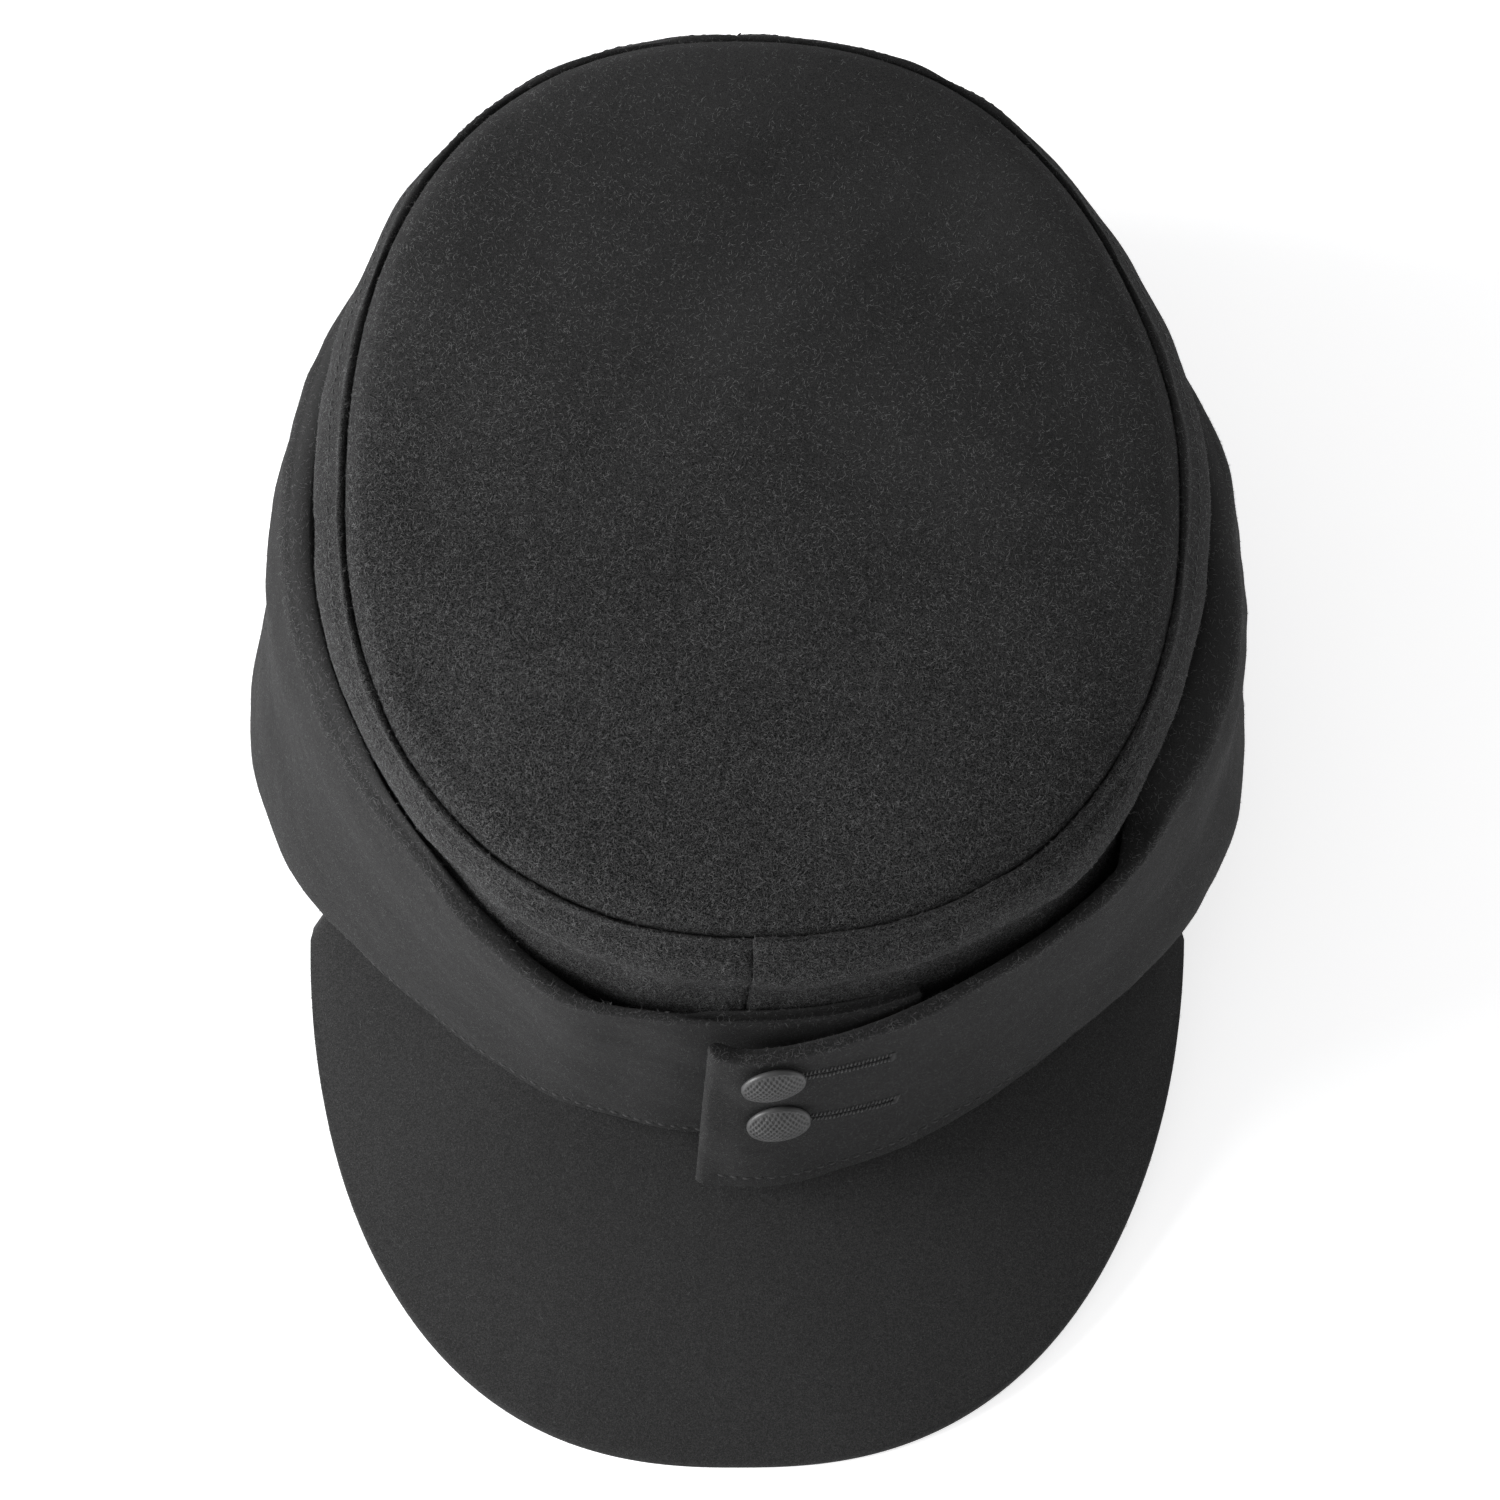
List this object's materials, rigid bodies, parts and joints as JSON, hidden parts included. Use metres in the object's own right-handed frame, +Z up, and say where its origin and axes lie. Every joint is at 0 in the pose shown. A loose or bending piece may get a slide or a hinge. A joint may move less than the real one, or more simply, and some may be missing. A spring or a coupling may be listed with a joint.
{
  "type": "soft wool field cap with a turn-up flap and a long peak",
  "caption": "Soft wool cap with an oval crown, a turn-up flap closed by a buttoned tab at the front, and a long cloth-covered peak",
  "frame": {"origin": "the middle of the surface the cap rests on, under the middle of its bounding box", "axes": "+Z up, the peak points to -Y, +X is the right of someone who looks at the front of the cap"},
  "size_m": [0.1868, 0.2566, 0.1033],
  "materials": {
    "wool": "dark grey-black felted wool, matt with short light fibres",
    "button": "dark grey painted metal with a fine pebbled dome, half matt"
  },
  "bodies": {
    "root": {"crown_top": "wool", "side_left": "wool", "side_right": "wool", "flap_left": "wool", "flap_right": "wool", "peak": "wool", "button_upper": "button", "button_lower": "button"}
  },
  "joints": []
}
